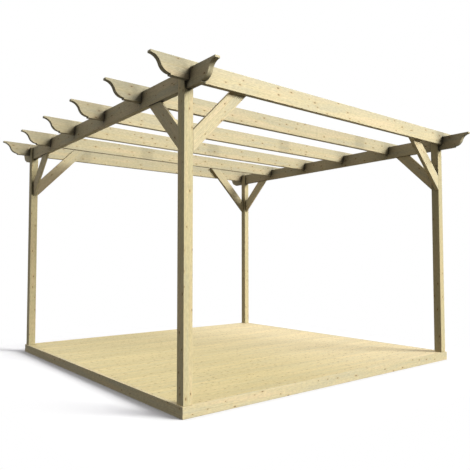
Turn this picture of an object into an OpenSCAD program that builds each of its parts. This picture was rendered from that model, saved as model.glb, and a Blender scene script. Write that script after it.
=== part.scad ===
// Garden pergola of planed softwood on a square timber deck.
// Four slotted posts carry two beams, and six rafters are halved over the beams.
// The origin lies on the ground under the middle of the deck; X runs along the rafters.

/* [Deck] */
// Width of the deck along the rafters
deck_w = 3600; // [2400:10:4800]
// Depth of the deck along the beams
deck_d = 3600; // [2400:10:4800]
// Height of the deck surface above the ground
deck_h = 88; // [70:1:160]
// Thickness of the fascia boards round the deck
fascia_t = 28; // [18:1:40]
// Thickness of the deck boards
board_t = 28; // [18:1:40]
// Number of deck boards
board_count = 27; // [20:1:36]
// Joint between two deck boards
board_gap = 1; // [0.5:0.5:8]
// Thickness of the joists under the boards
joist_t = 45; // [30:1:70]

/* [Posts] */
// Width of the posts along the rafters
post_w = 80; // [70:1:120]
// Depth of the posts along the beams
post_d = 88; // [70:1:120]
// Distance of the posts from the edges of the deck
post_inset = 12; // [2:1:40]

/* [Beams and rafters] */
// Height of the beam and rafter boards
plank_h = 148; // [120:1:200]
// Thickness of the beam and rafter boards
plank_t = 45; // [28:1:50]
// Height of the beams' underside above the ground
beam_z = 2415; // [2100:1:2800]
// Height of the rafters' underside above the beams' underside
rafter_raise = 54; // [40:1:80]
// Overhang of the beams past the deck
beam_overhang = 345; // [280:1:500]
// Overhang of the rafters past the deck
rafter_overhang = 300; // [260:1:500]
// Length of the shaped tail
tail_l = 165; // [130:1:200]
// Height of the blunt nose at the top of the tail
nose_h = 18; // [6:1:25]
// Height of the step at the bottom of the tail
quirk_h = 12; // [4:1:20]
// Play of a board in a slot or a halving, each side
play = 0.5; // [0.2:0.1:1]

/* [Braces] */
// Height of a brace's lower edge on the post above the ground
brace_foot_z = 1946; // [1500:1:2050]
// Width of the front and back brace boards
front_brace_w = 118; // [80:1:140]
// Thickness of the front and back brace boards
front_brace_t = 40; // [20:1:44]
// Reach of a front or back brace's lower edge at the rafters' underside
front_brace_reach = 516; // [400:1:700]
// Width of the side brace boards
side_brace_w = 128; // [80:1:140]
// Thickness of the side brace boards
side_brace_t = 24; // [18:1:44]
// Reach of a side brace's lower edge at the beams' underside
side_brace_reach = 491; // [350:1:700]

/* [Hidden] */

LEFT = -1;
RIGHT = 1;
FRONT = -1;
BACK = 1;

rafter_count = 6;
joist_count = 5;
frame_h = deck_h - board_t;
post_top = beam_z + plank_h;
rafter_z = beam_z + rafter_raise;
lap = plank_h - rafter_raise;

// Outer and inner faces of the posts, and the boards that line up with them
post_x = deck_w / 2 - post_inset;
post_y = deck_d / 2 - post_inset;
post_in_x = post_x - post_w;
post_in_y = post_y - post_d;
beam_x = post_x - post_w / 2;
rafter_first = -post_y - plank_t;
rafter_pitch = (2 * post_y + plank_t) / (rafter_count - 1);

beam_l = deck_d + 2 * beam_overhang;
rafter_l = deck_w + 2 * rafter_overhang;

// The tail is two arcs of one radius that meet halfway
tail_drop = plank_h - nose_h - quirk_h;
tail_r = (pow(tail_l / 2, 2) + pow(tail_drop / 2, 2)) / tail_drop;
tail_mid = quirk_h + tail_drop / 2;

board_l = deck_w - 2 * fascia_t;
board_w = (deck_d - 2 * fascia_t - (board_count + 1) * board_gap) / board_count;
joist_l = deck_d - 2 * fascia_t;

$fn = 96;

function rafter_y(i) = rafter_first + i * rafter_pitch;

module fascia_long(side) {
    color("#dccd9b")
        translate([-deck_w / 2, side * (deck_d - fascia_t) / 2 - fascia_t / 2, 0])
            cube([deck_w, fascia_t, deck_h]);
}

module fascia_short(side) {
    color("#6b6450")
        translate([side * (deck_w - fascia_t) / 2 - fascia_t / 2, fascia_t - deck_d / 2, 0])
            cube([fascia_t, deck_d - 2 * fascia_t, deck_h]);
}

// The outer joists lie against the fascia and the others stand evenly between them
module joist(i) {
    span = board_l - joist_t;
    color("#b9ab80")
        translate([-board_l / 2 + i * span / (joist_count - 1), -joist_l / 2, 0])
            cube([joist_t, joist_l, frame_h]);
}

module deck_boards() {
    color("#e0d2a2")
        for (i = [0 : board_count - 1])
            translate([-board_l / 2, fascia_t + board_gap - deck_d / 2 + i * (board_w + board_gap), frame_h])
                cube([board_l, board_w, board_t]);
}

// A post with the open slot that holds the beam
module post(side, end) {
    slot_w = plank_t + 2 * play;
    color("#e3d4a4")
        translate([side * beam_x, end * (post_y - post_d / 2), 0])
            difference() {
                translate([-post_w / 2, -post_d / 2, deck_h])
                    cube([post_w, post_d, post_top - deck_h]);
                translate([-slot_w / 2, -post_d, beam_z])
                    cube([slot_w, 2 * post_d, 2 * plank_h]);
            }
}

// What the saw takes off a board's end: a cove over a round
module tail_cut() {
    translate([0, plank_h - nose_h - tail_r])
        circle(tail_r);
    difference() {
        square([tail_l, tail_mid]);
        translate([tail_l, quirk_h + tail_r])
            circle(tail_r);
    }
}

// Side view of a board with a shaped tail at each end, centred on its length
module plank_outline(length) {
    difference() {
        translate([-length / 2, 0])
            square([length, plank_h]);
        translate([-length / 2, 0])
            tail_cut();
        translate([length / 2, 0])
            mirror([1, 0])
                tail_cut();
    }
}

// A halving in a board's side view, open at its bottom or its top edge
module halving(at, from) {
    cut_w = plank_t + 2 * play;
    translate([at - cut_w / 2, from])
        square([cut_w, lap / 2]);
}

module beam(side) {
    color("#6f6853")
        translate([side * beam_x - plank_t / 2, 0, beam_z])
            rotate([90, 0, 90])
                linear_extrude(plank_t)
                    difference() {
                        plank_outline(beam_l);
                        for (i = [0 : rafter_count - 1])
                            halving(rafter_y(i) + plank_t / 2, plank_h - lap / 2);
                    }
}

module rafter(i) {
    color("#e3d4a4")
        translate([0, rafter_y(i) + plank_t, rafter_z])
            rotate([90, 0, 0])
                linear_extrude(plank_t)
                    difference() {
                        plank_outline(rafter_l);
                        for (side = [LEFT, RIGHT])
                            halving(side * beam_x, 0);
                    }
}

// Side view of a brace: x from the post's face, z from the ground, cut level at its top
module brace_outline(width, reach, reach_z, top_z) {
    rise = reach_z - brace_foot_z;
    angle = atan2(rise, reach);
    upright = width / cos(angle);
    run_low = (top_z - brace_foot_z) / tan(angle);
    run_high = (top_z - brace_foot_z - upright) / tan(angle);
    polygon([
        [0, brace_foot_z],
        [run_low, top_z],
        [run_high, top_z],
        [0, brace_foot_z + upright]
    ]);
}

// Lies behind the outer rafter, flush with the posts' outer face, up to the rafter's top edge
module front_brace(side, end) {
    color("#ded0a0")
        translate([side * post_in_x, end * (post_y - front_brace_t / 2) + front_brace_t / 2, 0])
            mirror([side == LEFT ? 0 : 1, 0, 0])
                rotate([90, 0, 0])
                    linear_extrude(front_brace_t)
                        brace_outline(front_brace_w, front_brace_reach, rafter_z, rafter_z + plank_h);
}

// Stands in line with the beam and ends under it
module side_brace(side, end) {
    color("#736b56")
        translate([side * beam_x - side_brace_t / 2, end * post_in_y, 0])
            mirror([0, end == FRONT ? 0 : 1, 0])
                rotate([90, 0, 90])
                    linear_extrude(side_brace_t)
                        brace_outline(side_brace_w, side_brace_reach, beam_z, beam_z);
}

fascia_long(FRONT);  // fascia_front
fascia_long(BACK);  // fascia_back
fascia_short(LEFT);  // fascia_left
fascia_short(RIGHT);  // fascia_right
joist(0);  // joist_1
joist(1);  // joist_2
joist(2);  // joist_3
joist(3);  // joist_4
joist(4);  // joist_5
deck_boards();
post(LEFT, FRONT);  // post_front_left
post(RIGHT, FRONT);  // post_front_right
post(LEFT, BACK);  // post_back_left
post(RIGHT, BACK);  // post_back_right
beam(LEFT);  // beam_left
beam(RIGHT);  // beam_right
rafter(0);  // rafter_1
rafter(1);  // rafter_2
rafter(2);  // rafter_3
rafter(3);  // rafter_4
rafter(4);  // rafter_5
rafter(5);  // rafter_6
front_brace(LEFT, FRONT);  // front_brace_left
front_brace(RIGHT, FRONT);  // front_brace_right
front_brace(LEFT, BACK);  // back_brace_left
front_brace(RIGHT, BACK);  // back_brace_right
side_brace(LEFT, FRONT);  // side_brace_front_left
side_brace(RIGHT, FRONT);  // side_brace_front_right
side_brace(LEFT, BACK);  // side_brace_back_left
side_brace(RIGHT, BACK);  // side_brace_back_right
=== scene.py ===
# %% [markdown]
# # A garden pergola of planed, pressure-treated softwood on a low deck
# The construction comes from the CAD frame: four slotted posts, two beams, six rafters with
# ogee tails, eight knee braces and a square deck. This lesson gives each timber its eased
# arrises, its grain and its knots, and sets up the studio in which it is looked at.
# The timbers could be modelled here from cubes, but their slots, halvings and tails are exact in
# the frame, so copies of its nodes are dressed instead. The frame is loaded first.

# %% The CAD frame
import math
import random

import bpy
import numpy as np
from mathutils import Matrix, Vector


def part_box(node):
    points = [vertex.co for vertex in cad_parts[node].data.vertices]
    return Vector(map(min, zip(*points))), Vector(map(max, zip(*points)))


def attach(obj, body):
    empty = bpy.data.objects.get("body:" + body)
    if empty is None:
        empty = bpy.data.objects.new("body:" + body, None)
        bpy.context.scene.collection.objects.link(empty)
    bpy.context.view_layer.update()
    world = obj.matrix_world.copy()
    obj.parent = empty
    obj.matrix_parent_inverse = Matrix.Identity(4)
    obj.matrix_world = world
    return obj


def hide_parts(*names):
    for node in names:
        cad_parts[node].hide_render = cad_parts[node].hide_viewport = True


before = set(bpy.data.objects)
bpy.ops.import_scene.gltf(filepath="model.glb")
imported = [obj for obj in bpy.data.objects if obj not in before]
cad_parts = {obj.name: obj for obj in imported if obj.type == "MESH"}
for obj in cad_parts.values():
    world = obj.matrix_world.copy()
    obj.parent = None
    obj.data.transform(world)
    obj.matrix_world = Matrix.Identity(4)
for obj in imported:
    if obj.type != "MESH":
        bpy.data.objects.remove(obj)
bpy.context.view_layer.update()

# %% [markdown]
# ## Camera
# The viewer stands off the front left corner with the eye a little over a metre up, well below
# the rafters. A lens of about 40 mm on a full-frame sensor gives the strong but natural
# perspective. A Track To constraint could aim the camera, but plain angles for its heading, its
# pitch and a trace of roll can be read from the code and set exactly.

# %% Camera at eye level off the front left corner
IMAGE_SIDE = 470
FOCAL_PIXELS = 521.9
SENSOR_MM = 36
CLIP_END = 200
EYE = (-3.8823, -4.9897, 1.1480)
HEADING = math.radians(38.796)
PITCH = math.radians(2.668)
ROLL = math.radians(0.045)

bpy.ops.object.camera_add(location=EYE, rotation=(math.pi / 2 + PITCH, ROLL, -HEADING))
camera = bpy.context.object
camera.name = "eye_level_camera"
camera.data.sensor_width = SENSOR_MM
camera.data.lens = FOCAL_PIXELS / IMAGE_SIDE * SENSOR_MM
camera.data.clip_end = CLIP_END
bpy.context.scene.camera = camera
bpy.context.scene.view_settings.view_transform = "Standard"
print("lens", round(camera.data.lens, 2), "mm")

# %% [markdown]
# ## Helpers for materials
# Colours are written as sRGB hex values, as a paint chart gives them, and turned to the linear
# values that shaders use. One small function adds a node, sets it and links it, which keeps
# the node trees below short enough to read.
# Some inputs are named by their number. A Map Range takes its value at 0, the range that the
# value comes from at 1 and 2, and the range that it goes to at 3 and 4. A Mix of colours takes its
# share at 0 and its two colours at 6 and 7.


# %% Colour and node helpers
def linear(hex_colour):
    """An sRGB hex value as linear RGBA."""
    channels = [int(hex_colour[i:i + 2], 16) / 255 for i in (1, 3, 5)]
    return [c / 12.92 if c <= 0.04045 else ((c + 0.055) / 1.055) ** 2.4 for c in channels] + [1]


def empty_tree(owner):
    """The node tree of a material or a world, without its first nodes."""
    owner.use_nodes = True
    owner.node_tree.nodes.clear()
    return owner.node_tree


def add(tree, kind, links=None, sockets=None, **settings):
    """A new shader node with its settings, its socket values and its links."""
    made = tree.nodes.new("ShaderNode" + kind)
    for name, value in settings.items():
        setattr(made, name, value)
    for name, value in (sockets or {}).items():
        made.inputs[name].default_value = value
    for name, source in (links or {}).items():
        tree.links.new(source, made.inputs[name])
    return made


print("pale timber is", [round(c, 3) for c in linear("#e2d5aa")])

# %% [markdown]
# ## White studio paper
# The pergola stands on seamless white paper, as goods for a catalogue do. Real paper throws light
# back up and would brighten the shaded faces too much, so the Light Path node shows the paper to
# the camera and only a faint glow to everything else.
# Round the deck the paper is matt and takes the shadows. A short way out it turns to a glow of
# strength 1, which is pure white, so no edge of the floor shows. One grey plane with a brighter
# lamp could look as white, but the lamp would wash out the timber as well.


# %% What the camera sees directly
def seen_directly(tree):
    """1 for what the camera sees, also in a reflection or through glass, else 0."""
    path = add(tree, "LightPath")
    mirrored = add(tree, "Math", {0: path.outputs["Is Camera Ray"], 1: path.outputs["Is Glossy Ray"]},
                   operation="MAXIMUM").outputs[0]
    return add(tree, "Math", {0: mirrored, 1: path.outputs["Is Transmission Ray"]},
               operation="MAXIMUM").outputs[0]


print("the paper and the surroundings both ask what the camera sees directly")

# %% Floor
FLOOR_SIZE = 120
FLOOR_DROP = 0.0005

bpy.ops.object.select_all(action="DESELECT")
bpy.ops.mesh.primitive_plane_add(size=FLOOR_SIZE, location=(0, 0, -FLOOR_DROP))
floor = bpy.context.object
floor.name = "studio_floor"
print("floor", FLOOR_SIZE, "m wide")

# %% Matt paper that takes the shadows near the deck
# Matt paper has no gloss and gives the eye an even white. A broad light leaves a soft dark seam
# where the deck stands on it, and ambient occlusion that looks towards the light finds this seam
# on the shaded side only.
LIGHT_FROM = Vector((0.585, -0.811, 0))
SEAM_RISE = 0.3
SEAM_REACH = 0.3
SEAM_SHADE = {1: 0.4, 2: 0.98, 3: 0.66, 4: 1.06}
PAPER_TINT = (1, 1.005, 0.985)

paper = bpy.data.materials.new("white_studio_paper_matt")
floor.data.materials.append(paper)
tree = empty_tree(paper)
light_side = add(tree, "CombineXYZ", sockets={0: LIGHT_FROM.x, 1: LIGHT_FROM.y, 2: SEAM_RISE}).outputs[0]
open_share = add(tree, "AmbientOcclusion", {"Normal": light_side}, {"Distance": SEAM_REACH},
                 samples=8).outputs["AO"]
shade = add(tree, "MapRange", {0: open_share}, SEAM_SHADE).outputs[0]
shade = add(tree, "VectorMath", {0: shade}, {1: PAPER_TINT}, operation="MULTIPLY").outputs[0]
paper_near = add(tree, "BsdfDiffuse", {"Color": shade}).outputs[0]
print("the seam reaches", SEAM_REACH, "m from the deck")

# %% White paper farther out, and a faint glow under the timbers
SHADOW_FROM, SHADOW_TO = 2.0, 2.75
FLOOR_FILL = 0.06
WHITE = (1, 1, 1, 1)

place = add(tree, "TexCoord").outputs["Object"]
reach = add(tree, "VectorMath", {0: place}, operation="ABSOLUTE").outputs[0]
reach = add(tree, "SeparateXYZ", {0: reach}).outputs
reach = add(tree, "Math", {0: reach[0], 1: reach[1]}, operation="MAXIMUM").outputs[0]
away = add(tree, "MapRange", {0: reach}, {1: SHADOW_FROM, 2: SHADOW_TO, 3: 0, 4: 1},
           interpolation_type="SMOOTHSTEP").outputs[0]
paper_far = add(tree, "Emission", sockets={"Color": WHITE, "Strength": 1}).outputs[0]
white = add(tree, "MixShader", {0: away, 1: paper_near, 2: paper_far}).outputs[0]
fill = add(tree, "Emission", sockets={"Color": WHITE, "Strength": FLOOR_FILL}).outputs[0]
shown = add(tree, "MixShader", {0: seen_directly(tree), 1: fill, 2: white}).outputs[0]
add(tree, "OutputMaterial", {"Surface": shown})
print("shadows fade out between", SHADOW_FROM, "and", SHADOW_TO, "m from the middle")

# %% [markdown]
# ## White surroundings
# A studio tent lights what stands in it from all round, and most from above. A picture of a sky
# could do this, but a Background node that grows brighter towards the zenith is plainer. The camera
# sees an even white of strength 1 in its place.
# The light of the sky isn't passed on from timber to timber, so max_bounces is 0. That keeps
# the shaded faces as deep as in an open garden.

# %% World
SKY_LIGHT = 0.7
SKY_COLOUR = (1, 0.98, 1.05, 1)

world = bpy.data.worlds.new("white_studio")
bpy.context.scene.world = world
world.cycles.max_bounces = 0
tree = empty_tree(world)
upward = add(tree, "SeparateXYZ", {0: add(tree, "TexCoord").outputs["Generated"]}).outputs[2]
glow = add(tree, "MapRange", {0: upward}, {1: 0, 2: 1, 3: 0, 4: SKY_LIGHT}).outputs[0]
sky = add(tree, "Background", {"Strength": glow}, {"Color": SKY_COLOUR}).outputs[0]
backdrop = add(tree, "Background", sockets={"Color": WHITE, "Strength": 1}).outputs[0]
shown = add(tree, "MixShader", {0: seen_directly(tree), 1: sky, 2: backdrop}).outputs[0]
add(tree, "OutputWorld", {"Surface": shown})
print("the sky is brightest overhead, at", SKY_LIGHT)

# %% [markdown]
# ## One broad light and a weak fill
# A broad lamp from the front right gives the bright fronts, the dark left faces and the soft
# shadow that each post lays across the deck. An area lamp would fall off over the four metres of
# the object, so a sun lamp with a wide disc is used, which is equally bright everywhere.
# A second sun, weak, narrow and low, shines from straight behind. It keeps the backs of the timbers
# legible and hardly touches what faces the viewer.

# %% Broad key light and weak back fill
LAMP_DISTANCE = 9
FILL_FROM = Vector((0.06, 0.998, 0))


def soft_sun(name, compass, elevation, width, strength):
    """A sun lamp from a compass direction, with its elevation and its width in degrees."""
    rise = math.radians(elevation)
    towards = compass * math.cos(rise) + Vector((0, 0, math.sin(rise)))
    bpy.ops.object.light_add(type="SUN", location=towards * LAMP_DISTANCE)
    lamp = bpy.context.object
    lamp.name = name
    lamp.rotation_euler = (-towards).to_track_quat("-Z", "Y").to_euler()
    lamp.data.angle = math.radians(width)
    lamp.data.energy = strength
    lamp.data.cycles.max_bounces = 0
    print(name, "shines from", [round(c, 2) for c in towards])


soft_sun("broad_key_light", LIGHT_FROM, elevation=28, width=26, strength=3.85)
soft_sun("back_fill_light", FILL_FROM, elevation=8, width=6, strength=0.9)

# %% [markdown]
# ## Figure of planed spruce
# Along each board run streaks of early and late wood. Annual rings that the saw cut at a slant
# draw long flames, greenish sapwood and warm heartwood lie in long patches, and the plane leaves
# short flecks. A photographed texture could hold all this but would repeat, so noise and waves
# are stretched along the grain instead.
# They read the board's own map, in metres along and across its grain, so the figure turns
# with each slanting brace. The annual rings of spruce are 2 to 4 mm wide, finer than a pixel of
# the picture, so streaks and rings are drawn some four times as coarse.

# %% Streaks, patches, flecks and rings along the grain
MM = 0.001
# Length and width of each figure, then the detail and the roughness of its noise
FIGURES = {
    "streak": (700 * MM, 11 * MM, 5, 0.62),
    "patch": (800 * MM, 70 * MM, 3, 0.55),
    "fleck": (35 * MM, 12 * MM, 3, 0.6),
}
RING_SPACING = 12 * MM
RING_STRETCH = 20
# A Wave texture of scale 1 repeats at this distance
WAVE_PERIOD = math.pi / 10


def grain_figure(tree, grain):
    """Streaks, patches, flecks and slanted rings that follow the grain, each from 0 to 1."""
    figure = {}
    for name, (length, width, detail, roughness) in FIGURES.items():
        at = add(tree, "Mapping", {"Vector": grain}, {"Scale": (1 / length, 1 / width, 1)}).outputs[0]
        noise = {"Scale": 1, "Detail": detail, "Roughness": roughness}
        figure[name] = add(tree, "TexNoise", {"Vector": at}, noise, noise_dimensions="2D").outputs[0]
    at = add(tree, "Mapping", {"Vector": grain}, {"Scale": (1 / RING_STRETCH, 1, 1)}).outputs[0]
    wave = {"Scale": WAVE_PERIOD / RING_SPACING, "Distortion": 7, "Detail": 2, "Detail Scale": 0.8}
    figure["ring"] = add(tree, "TexWave", {"Vector": at}, wave,
                         wave_type="BANDS", bands_direction="Y", wave_profile="SAW").outputs[1]
    return figure


print("figures", sorted(FIGURES), "and rings every", round(RING_SPACING / MM), "mm")

# %% [markdown]
# ## Knots
# Branches leave small brown knots, drawn out along the grain and each in a warmer halo. They could
# be painted or modelled one by one. A Voronoi texture scatters them instead: each cell of the
# grain map has one random spot, and the cell's random colour decides whether a knot is there
# and how large it is.

# %% Knots in some of the cells
SMALLEST_KNOT = 0.45
# Where each zone starts to fade and where it ends, in radii of the knot, and how strong it is
KNOT_ZONES = {"halo": (0.8, 3.2, 0.3), "core": (0.4, 1.1, 0.85)}


def knots(tree, grain, cell, radius, share):
    """Halos and cores of knots in a share of the cells. Cell and radius are in metres."""
    at = add(tree, "Mapping", {"Vector": grain}, {"Scale": (1 / cell[0], 1 / cell[1], 1)}).outputs[0]
    spots = add(tree, "TexVoronoi", {"Vector": at}, {"Scale": 1}, voronoi_dimensions="2D").outputs
    chance = add(tree, "SeparateColor", {0: spots["Color"]}).outputs[0]
    there = add(tree, "Math", {0: chance}, {1: 1 - share}, operation="GREATER_THAN").outputs[0]
    largest = radius / cell[1]
    sizes = {1: 1 - share, 2: 1, 3: SMALLEST_KNOT * largest, 4: largest}
    size = add(tree, "MapRange", {0: chance}, sizes).outputs[0]
    radii = add(tree, "Math", {0: spots["Distance"], 1: size}, operation="DIVIDE").outputs[0]
    zones = {}
    for zone, (start, end, depth) in KNOT_ZONES.items():
        fade = add(tree, "MapRange", {0: radii}, {1: start, 2: end, 3: depth, 4: 0},
                   interpolation_type="SMOOTHSTEP").outputs[0]
        zones[zone] = add(tree, "Math", {0: fade, 1: there}, operation="MULTIPLY").outputs[0]
    return zones


print("a knot has", " and ".join(KNOT_ZONES))

# %% [markdown]
# ## Sawn ends
# Where the saw crosses the grain, the annual rings show as arcs round the pith. A second
# material on the end faces would show a hard line on the rounded tails. A mark on each face mixes
# the end grain into the one material instead, more of it the more the face cuts across the grain.

# %% End grain
END_PALE, END_LATE = "#e6dcb6", "#cfc194"
END_RING_SPACING = 5 * MM


def end_grain(tree, grain):
    """The colour of a sawn end with its rings."""
    wave = {"Scale": WAVE_PERIOD / END_RING_SPACING, "Distortion": 1.5, "Detail": 2, "Detail Scale": 0.5}
    ring = add(tree, "TexWave", {"Vector": grain}, wave,
               wave_type="RINGS", rings_direction="Z", wave_profile="SAW").outputs[1]
    return add(tree, "Mix", {0: ring}, {6: linear(END_PALE), 7: linear(END_LATE)},
               data_type="RGBA").outputs[2]


print("end rings every", round(END_RING_SPACING / MM), "mm")

# %% [markdown]
# ## Rain, painted shade and grey bands
# A pergola doesn't age evenly: rain greys the upper edges of the rafters first. Beside that, shade
# is painted on. The corners where rafters, beams and posts meet are darkened as painted shade, and
# a stretch along one axis, such as the rafter tails past the left beam, can be tinted darker as
# painted shade too. A soft grey band also crosses each rafter, some half a metre farther left on
# each than on the one in front of it. All of this could be painted on by hand. Here the place in
# the model, read from Object coordinates, sets how far each change has gone, and ambient occlusion
# finds the corners by itself.

# %% Rain, painted corner shade, painted shade along an axis and grey bands
X, Y, Z = 0, 1, 2
RAIN_GREY = {1: 2.54, 2: 2.6, 3: 0, 4: 0.6}
# Heights and distances from the middle over which the painted corner shade sets in
SHADE_HEIGHT_FROM, SHADE_HEIGHT_TO = 1.0, 1.8
BEAM_NEAR, BEAM_AT = 1.45, 1.6
CORNER_CLOSED, CORNER_OPEN = 0.5, 0.95
BAND_SLANT, BAND_AT = 0.76, 0.308
BAND_HALF, BAND_FADE = 50 * MM, 130 * MM


def corner_shade(tree, place, tone, reach):
    """The painted shade left in corners high up beside the beams, and 1 where the wood is open."""
    left = add(tree, "MapRange", {0: place[Z]}, {1: SHADE_HEIGHT_FROM, 2: SHADE_HEIGHT_TO, 3: 1, 4: tone}).outputs[0]
    outward = add(tree, "Math", {0: place[X]}, operation="ABSOLUTE").outputs[0]
    left = add(tree, "MapRange", {0: outward, 4: left}, {1: BEAM_NEAR, 2: BEAM_AT, 3: 1}).outputs[0]
    open_share = add(tree, "AmbientOcclusion", sockets={"Distance": reach}, samples=8).outputs["AO"]
    return add(tree, "MapRange", {0: open_share, 3: left},
               {1: CORNER_CLOSED, 2: CORNER_OPEN, 4: 1}).outputs[0]


def painted_shade_tint(tree, place, axis, start, end, tint):
    """White up to the start of a stretch along an axis, and the tint from its end on."""
    gone = add(tree, "MapRange", {0: place[axis]}, {1: start, 2: end, 3: 0, 4: 1},
               interpolation_type="SMOOTHSTEP").outputs[0]
    return add(tree, "Mix", {0: gone}, {6: WHITE, 7: linear(tint)}, data_type="RGBA").outputs[2]


def slanted_band(tree, place, tone):
    """The tone of a band across the rafters, on one slanted line in plan, and 1 beside it."""
    line = add(tree, "Math", {0: place[Y], 2: place[X]}, {1: BAND_SLANT},
               operation="MULTIPLY_ADD").outputs[0]
    beside = add(tree, "Math", {0: line}, {1: BAND_AT}, operation="SUBTRACT").outputs[0]
    beside = add(tree, "Math", {0: beside}, operation="ABSOLUTE").outputs[0]
    return add(tree, "MapRange", {0: beside}, {1: BAND_HALF, 2: BAND_FADE, 3: tone, 4: 1},
               interpolation_type="SMOOTHSTEP").outputs[0]


print("rain greys the wood above", RAIN_GREY[1], "m, lath bands fade out over", 2 * BAND_FADE, "m")

# %% [markdown]
# ## Treated spruce
# Spruce that was planed and then pressure treated is a pale yellow with a hint of green and a
# dull sheen. The layers above are laid over each other: the wood itself, the rain, the knots and
# the cut ends, then the listed tone with its painted shade, the flecks, the painted corner shade,
# the grey bands and the painted shade along one axis. One material with everything in it would be
# long to read, so one function makes the colour of the wood and a second one puts the finish
# together.

# %% Colour of the wood
LATE_WOOD = {1: 0.05, 2: 0.5, 3: 0, 4: 0.8}
SAPWOOD = {1: 0.5, 2: 0.7, 3: 0, 4: 0.75}
HEARTWOOD = {1: 0.5, 2: 0.3, 3: 0, 4: 0.75}
KNOT_HALO, KNOT_CORE = "#d2b377", "#7d6038"


def wood_colour(tree, figure, knot, rain, colours):
    """Early and late wood, and over it sapwood, heartwood, the grey of the rain and the knots."""
    late = add(tree, "Math", {0: figure["streak"], 1: figure["ring"]}, operation="MULTIPLY").outputs[0]
    late = add(tree, "MapRange", {0: late}, LATE_WOOD).outputs[0]
    colour = add(tree, "Mix", {0: late}, {6: linear(colours["early"]), 7: linear(colours["late"])},
                 data_type="RGBA").outputs[2]
    sap = add(tree, "MapRange", {0: figure["patch"]}, SAPWOOD).outputs[0]
    heart = add(tree, "MapRange", {0: figure["patch"]}, HEARTWOOD).outputs[0]
    layers = ((sap, colours["sap"]), (heart, colours["heart"]), (rain, colours["sap"]),
              (knot["halo"], KNOT_HALO), (knot["core"], KNOT_CORE))
    for share, tint in layers:
        colour = add(tree, "Mix", {0: share, 6: colour}, {7: linear(tint)}, data_type="RGBA").outputs[2]
    return colour


print("knots are", KNOT_CORE, "in", KNOT_HALO)

# %% The finish put together
FLECK_LIFT = {1: 0.3, 2: 0.7, 3: 0.9, 4: 1.1}
ROUGHNESS = {1: 0.3, 2: 0.7, 3: 0.58, 4: 0.74}
RELIEF = {"Strength": 0.3, "Distance": 0.8 * MM}
SHEEN_OF_WOOD = {"IOR": 1.5, "Specular IOR Level": 0.3}


def timber(name, colours, knot_sizes, corners, shade_along_axis, band_tone=1):
    """Treated spruce from its colours, knots, painted corner shade, painted axis shade and bands."""
    finish = bpy.data.materials.new(name)
    tree = empty_tree(finish)
    grain = add(tree, "UVMap", uv_map="grain").outputs["UV"]
    tone = add(tree, "Attribute", attribute_name="tone").outputs["Fac"]
    cut_end = add(tree, "Attribute", attribute_name="cut_end").outputs["Fac"]
    place = add(tree, "SeparateXYZ", {0: add(tree, "TexCoord").outputs["Object"]}).outputs
    figure = grain_figure(tree, grain)
    knot = knots(tree, grain, **knot_sizes)
    rain = add(tree, "MapRange", {0: place[Z]}, RAIN_GREY).outputs[0]
    colour = wood_colour(tree, figure, knot, rain, colours)
    colour = add(tree, "Mix", {0: cut_end, 6: colour, 7: end_grain(tree, grain)}, data_type="RGBA").outputs[2]
    lift = add(tree, "MapRange", {0: figure["fleck"]}, FLECK_LIFT).outputs[0]
    # The tone with its painted shade, the flecks, the painted corner shade and the grey bands scale the
    # colour
    corner, band = corner_shade(tree, place, *corners), slanted_band(tree, place, band_tone)
    for factor in (tone, lift, corner, band):
        colour = add(tree, "VectorMath", {0: colour, "Scale": factor}, operation="SCALE").outputs[0]
    tint = painted_shade_tint(tree, place, *shade_along_axis)
    colour = add(tree, "VectorMath", {0: colour, 1: tint}, operation="MULTIPLY").outputs[0]
    rough = add(tree, "MapRange", {0: figure["streak"]}, ROUGHNESS).outputs[0]
    grooves = add(tree, "Math", {0: figure["streak"], 1: knot["core"]}, operation="SUBTRACT").outputs[0]
    relief = add(tree, "Bump", {"Height": grooves}, RELIEF).outputs[0]
    shader = add(tree, "BsdfPrincipled", {"Base Color": colour, "Roughness": rough, "Normal": relief},
                 SHEEN_OF_WOOD).outputs[0]
    add(tree, "OutputMaterial", {"Surface": shader})
    return finish


print("planed spruce is rough by", ROUGHNESS[3], "to", ROUGHNESS[4])

# %% [markdown]
# ## Finishes of the timbers
# All timbers are the same treated spruce, and differ in how they were cut and in the shade painted
# on them where they stand. One material with many switches could serve them all, but a finish for
# each kind of timber says plainly what is special about it. A finish without painted shade along an
# axis has a tint of white, a corner tone of 1 paints no shade into its corners, and a band tone of 1
# leaves its faces without bands.

# %% Beams, rafters and posts
# Planed faces give the eye a pale yellow with soft streaks and small knots, and a dull sheen
FRAME_COLOURS = {"early": "#e2d5aa", "late": "#cebd8a", "sap": "#cfc6a3", "heart": "#e8d3a7"}
FRAME_KNOTS = {"cell": (150 * MM, 70 * MM), "radius": 7.5 * MM, "share": 0.6}
EVEN = (X, -1, 1, "#ffffff")

# The rafter tails past the left beam are tinted a shade darker as painted shade, the corners
# high up beside the beams are darkened as painted shade, and a soft grey band is drawn across
# each rafter
TAIL_PAINTED_SHADE = (X, -1.77, -1.83, "#e7e7e7")
BEAM_CORNER_SHADE = (0.08, 300 * MM)
BAND_TONE = 0.83
frame_spruce = timber("spruce_planed_pressure_treated", FRAME_COLOURS, FRAME_KNOTS, BEAM_CORNER_SHADE, TAIL_PAINTED_SHADE,
                      BAND_TONE)

# Posts are cut nearer to the heart, so they look a little yellower, and their painted corner shade
# reaches only close to a joint
POST_COLOURS = {"early": "#e1d4a4", "late": "#cdbb83", "sap": "#d0c69b", "heart": "#e7d1a0"}
POST_CORNER_SHADE = (0.08, 100 * MM)
post_spruce = timber("spruce_posts_planed_treated", POST_COLOURS, FRAME_KNOTS, POST_CORNER_SHADE, EVEN)
print("finishes", frame_spruce.name, post_spruce.name)

# %% Braces and fascia boards
# A corner tone of 1 paints no shade into the corners
NO_CORNER_SHADE = (1, 300 * MM)

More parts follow.
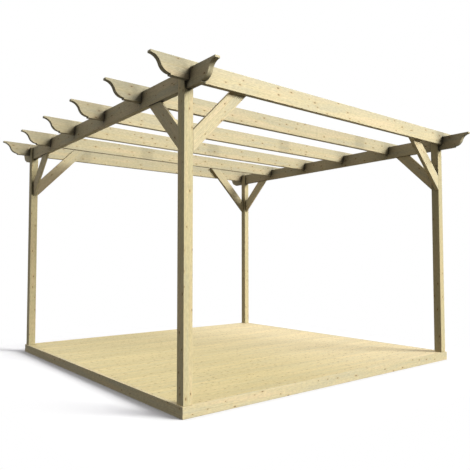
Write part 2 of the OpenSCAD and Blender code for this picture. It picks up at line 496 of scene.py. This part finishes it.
# Short planed boards stay even, with no painted shade in their corners or along an axis
board_spruce = timber("spruce_boards_planed_treated", FRAME_COLOURS, FRAME_KNOTS, NO_CORNER_SHADE, EVEN)

# The left back brace is as pale as the others at its top and painted much darker below it, as a
# painted shadow of the rafter in front
BRACE_PAINTED_SHADOW = (Z, 2.47, 2.34, "#cbc7c5")
shadowed_brace_spruce = timber("spruce_brace_painted_shadow_planed_treated", FRAME_COLOURS, FRAME_KNOTS, NO_CORNER_SHADE, BRACE_PAINTED_SHADOW)
print("finishes", board_spruce.name, shadowed_brace_spruce.name)

# %% Deck boards and joists
# Deck boards are planed from outer wood, with finer knots. Their colours are painted pale and
# darkened towards the left, which paints more light on the right and shade on the left
DECK_COLOURS = {"early": "#f4e4b6", "late": "#e0cb96", "sap": "#e6d8af", "heart": "#f7e3b3"}
DECK_KNOTS = {"cell": (110 * MM, 50 * MM), "radius": 6 * MM, "share": 0.65}
DECK_PAINTED_SHADE = (X, 1.7, -0.8, "#e7e7d7")
deck_spruce = timber("spruce_decking_planed_treated", DECK_COLOURS, DECK_KNOTS, NO_CORNER_SHADE, DECK_PAINTED_SHADE)

# Joists are left sawn, which soaks up more of the treatment and looks browner
JOIST_COLOURS = {"early": "#cbba8b", "late": "#b5a06d", "sap": "#b1a578", "heart": "#cdb483"}
JOIST_KNOTS = {"cell": (150 * MM, 60 * MM), "radius": 8 * MM, "share": 0.6}
joist_spruce = timber("spruce_sawn_treated", JOIST_COLOURS, JOIST_KNOTS, NO_CORNER_SHADE, EVEN)
print("finishes", deck_spruce.name, joist_spruce.name)

# %% [markdown]
# ## Easing a timber
# A planed timber never has a razor edge: the mill eases each arris by one to three millimetres
# so that it doesn't splinter, and that narrow round is what catches the light. A Bevel modifier on
# a bare copy of a CAD node would find only loose triangles. So the triangles of each copy are
# merged and dissolved to whole faces first. Then the sharp edges are bevelled, and weighted
# normals keep the broad faces flat.

# %% A merged copy of a CAD timber
MERGE = 0.01 * MM
FLAT = math.radians(0.4)


def only(piece):
    """Selects one object and makes it active."""
    bpy.ops.object.select_all(action="DESELECT")
    piece.select_set(True)
    bpy.context.view_layer.objects.active = piece


def merged_copy(node, name):
    """A copy of a CAD node with its triangles merged to whole faces."""
    piece = bpy.data.objects.new(name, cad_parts[node].data.copy())
    bpy.context.scene.collection.objects.link(piece)
    piece.data.materials.clear()
    only(piece)
    bpy.ops.mesh.customdata_custom_splitnormals_clear()
    bpy.ops.object.mode_set(mode="EDIT")
    bpy.ops.mesh.select_all(action="SELECT")
    bpy.ops.mesh.remove_doubles(threshold=MERGE)
    bpy.ops.mesh.dissolve_limited(angle_limit=FLAT)
    bpy.ops.object.mode_set(mode="OBJECT")
    return piece


print("vertices closer than", MERGE, "m are merged")

# %% Rounding the arrises
SHARP = math.radians(30)
SMOOTH = math.radians(50)
ARRIS_SEGMENTS = 2


def ease(piece, arris):
    """Rounds every arris of a timber and keeps its broad faces flat."""
    only(piece)
    bpy.ops.object.mode_set(mode="EDIT")
    bpy.ops.mesh.select_mode(type="EDGE")
    bpy.ops.mesh.select_all(action="DESELECT")
    bpy.ops.mesh.edges_select_sharp(sharpness=SHARP)
    bpy.ops.mesh.bevel(offset=arris, segments=ARRIS_SEGMENTS, profile=0.5, affect="EDGES", clamp_overlap=True)
    bpy.ops.object.mode_set(mode="OBJECT")
    bpy.ops.object.shade_smooth_by_angle(angle=SMOOTH)
    bpy.ops.object.modifier_add(type="WEIGHTED_NORMAL")
    piece.modifiers[-1].keep_sharp = True
    bpy.ops.object.modifier_apply(modifier=piece.modifiers[-1].name)


print("an eased arris has", ARRIS_SEGMENTS, "segments")

# %% [markdown]
# ## Laying the grain
# The grain of a sawn timber runs along its length, so the longest edge of each mesh gives its
# direction, also on the slanting braces. An unwrap would cut and turn the faces as it likes.
# Instead every face gets a map in metres: along the grain, and across it in the plane of the
# face. Each timber starts at another place of the pattern, so no two show the same knots.
# Faces cut across the grain are marked, and so is the tone of each face.


# %% Direction of the grain
def grain_direction(mesh):
    """The direction of a timber's longest edge, and the middle of its box."""
    corners = np.array([vertex.co for vertex in mesh.vertices])
    pairs = np.array([edge.vertices for edge in mesh.edges])
    runs = corners[pairs[:, 1]] - corners[pairs[:, 0]]
    along = Vector(runs[np.argmax((runs ** 2).sum(1))]).normalized()
    return along, Vector((corners.min(0) + corners.max(0)) / 2)


low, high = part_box("rafter_1")
print("the front rafter is", round(high[0] - low[0], 3), "m long along its grain")

# %% Grain map, tone and cut ends of one timber
chooser = random.Random(41)
PITH_NEAR, PITH_FAR = 20 * MM, 90 * MM
FAR_APART = 40
FACE_SIDES = 6
END_FROM, END_TO = 0.55, 0.95
SHADED_FACE_FACING = -0.7


def lay_grain(piece, tone, shaded_face_tone=1):
    """Gives a timber its grain map, its tone, painted darker on a shaded side, and the marks of its ends."""
    mesh = piece.data
    along, middle = grain_direction(mesh)
    side = along.orthogonal().normalized()
    pith = Vector((chooser.uniform(PITH_NEAR, PITH_FAR), chooser.uniform(PITH_NEAR, PITH_FAR)))
    starts = [(chooser.uniform(0, FAR_APART), chooser.uniform(0, FAR_APART)) for _ in range(FACE_SIDES)]
    grain = mesh.uv_layers.new(name="grain")
    ends = mesh.attributes.new("cut_end", "FLOAT", "FACE")
    tones = mesh.attributes.new("tone", "FLOAT", "FACE")
    for face in mesh.polygons:
        facing = abs(face.normal.dot(along))
        share = min(1, max(0, (facing - END_FROM) / (END_TO - END_FROM)))
        ends.data[face.index].value = share
        # A face turned to the left can be painted darker, as painted shade
        tones.data[face.index].value = tone * (shaded_face_tone if face.normal.x < SHADED_FACE_FACING else 1)
        if share == 1:
            first, second, origin, start = side, along.cross(side), middle, pith
        else:
            widest = max(range(3), key=lambda axis: abs(face.normal[axis]))
            first, second = along, face.normal.cross(along).normalized()
            origin, start = Vector(), starts[2 * widest + (face.normal[widest] > 0)]
        for loop in face.loop_indices:
            place = mesh.vertices[mesh.loops[loop].vertex_index].co - origin
            grain.data[loop].uv = (place.dot(first) + start[0], place.dot(second) + start[1])


print("each timber starts within", FAR_APART, "m of the pattern")

# %% [markdown]
# ## Dressing a timber
# Every timber goes through the same steps: a copy is eased, gets its grain and its finish, and
# takes the place of its CAD node. Each timber's tone differs by a per cent or two at random, and
# some have a listed tone as well, partly their own and partly painted shade. The front rafter and
# the front braces are painted palest and the timbers towards the back darker, where the rafters in
# front would shade them, and the left face of the front right post is painted darker as painted
# shade. The tone could be a material for each timber, but an attribute on its faces needs only a
# number.

# %% Listed tones, partly painted shade
TONE_SPREAD = 0.02
TONES_AND_PAINTED_SHADE = {
    "rafter_1": 1.13, "rafter_2": 0.94, "rafter_3": 0.94,
    "rafter_4": 0.89, "rafter_5": 0.83, "rafter_6": 0.79,
    "post_front_left": 0.96, "post_front_right": 0.97,
    "post_back_left": 0.78, "post_back_right": 0.92,
    "front_brace_left": 1.06, "front_brace_right": 1.12,
    "back_brace_left": 0.78, "back_brace_right": 0.86,
    "side_brace_front_right": 0.82, "side_brace_back_right": 1.2,
    "beam_right": 0.83, "fascia_front": 1.03,
}
# The left face of the front right post is painted darker, as painted shade
SHADED_FACE_TONES = {"post_front_right": 0.75}


def tone_of(node):
    """The listed tone of a timber, partly painted shade, with a small variation of its own."""
    return TONES_AND_PAINTED_SHADE.get(node, 1) * (1 + chooser.uniform(-TONE_SPREAD, TONE_SPREAD))


print("tones from", min(TONES_AND_PAINTED_SHADE.values()), "to", max(TONES_AND_PAINTED_SHADE.values()))


# %% From a CAD node to a dressed timber
def place_in_model(piece, finish, node):
    """Hands a timber its finish and its place in the frame."""
    piece.data.materials.append(finish)
    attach(piece, "root")
    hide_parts(node)


def dress(node, arris, finish, slot):
    """Makes the eased timber that stands for a CAD node."""
    piece = merged_copy(node, node + "_timber")
    ease(piece, arris)
    lay_grain(piece, tone_of(node), SHADED_FACE_TONES.get(node, 1))
    place_in_model(piece, finish, node)


# %% [markdown]
# ## Frame timbers
# The posts have an open slot for the beam, the rafters are halved over the beams, and the braces
# stand between a post and a board above it. All of these forms are in the CAD nodes, so a loop
# dresses them by their names. Sorted names keep the order, and with it each timber's grain, the
# same in every run.

# %% Posts, beams, rafters and braces
ARRIS = 2.5 * MM
FRAME_FINISHES = {
    "post": post_spruce, "beam": frame_spruce, "rafter": frame_spruce,
    "front_brace": board_spruce, "back_brace_left": shadowed_brace_spruce, "back_brace_right": board_spruce,
    "side_brace": board_spruce,
}

frame_timbers = sorted(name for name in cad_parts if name.startswith(tuple(FRAME_FINISHES)))
for node in frame_timbers:
    finish = next(made for kind, made in FRAME_FINISHES.items() if node.startswith(kind))
    dress(node, ARRIS, finish, "frame_timber")
print(len(frame_timbers), "frame timbers")

# %% [markdown]
# ## Deck boards
# The boards lie close together along the rafters, inside four fascia boards. One CAD node holds
# them all. A wave texture could draw the joints on one slab, but real boards each have their own
# arrises and grain, so the copy is taken apart, each board is dressed, and they are joined again.
# The boards run in fours from a darker to a paler board, which gives the faint bands across the
# deck.

# %% The deck taken apart
deck = merged_copy("deck_boards", "deck_boards_timber")
bpy.ops.object.mode_set(mode="EDIT")
bpy.ops.mesh.select_all(action="SELECT")
bpy.ops.mesh.separate(type="LOOSE")
bpy.ops.object.mode_set(mode="OBJECT")
boards = sorted(bpy.context.selected_objects, key=lambda board: board.data.vertices[0].co.y)
print(len(boards), "deck boards")

# %% The boards dressed and joined
FOUR_BOARD_TONES = (0.955, 0.98, 1.005, 1.03)
BOARD_SPREAD = 0.01
BOARD_ARRIS = 1.2 * MM

for index, board in enumerate(boards):
    ease(board, BOARD_ARRIS)
    variation = 1 + chooser.uniform(-BOARD_SPREAD, BOARD_SPREAD)
    lay_grain(board, FOUR_BOARD_TONES[index % len(FOUR_BOARD_TONES)] * variation)
only(boards[0])
for board in boards:
    board.select_set(True)
bpy.ops.object.join()
deck = bpy.context.object
deck.name = "deck_boards_timber"
place_in_model(deck, deck_spruce, "deck_boards")
print("the deck has", len(deck.data.polygons), "faces")

# %% [markdown]
# ## Fascia boards and joists
# Four fascia boards close the deck's edge, and five joists under the boards can be seen only from
# below. They could share a finish, but a fascia is planed on all sides, while a joist that
# nobody sees is left as it comes from the saw.

# %% Fascia boards and joists
EDGE_FINISHES = {"fascia": (board_spruce, "deck_timber"), "joist": (joist_spruce, "joist_timber")}

for node in sorted(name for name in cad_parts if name.startswith(tuple(EDGE_FINISHES))):
    dress(node, BOARD_ARRIS, *EDGE_FINISHES[node.split("_")[0]])
print("dressed", " and ".join(EDGE_FINISHES))
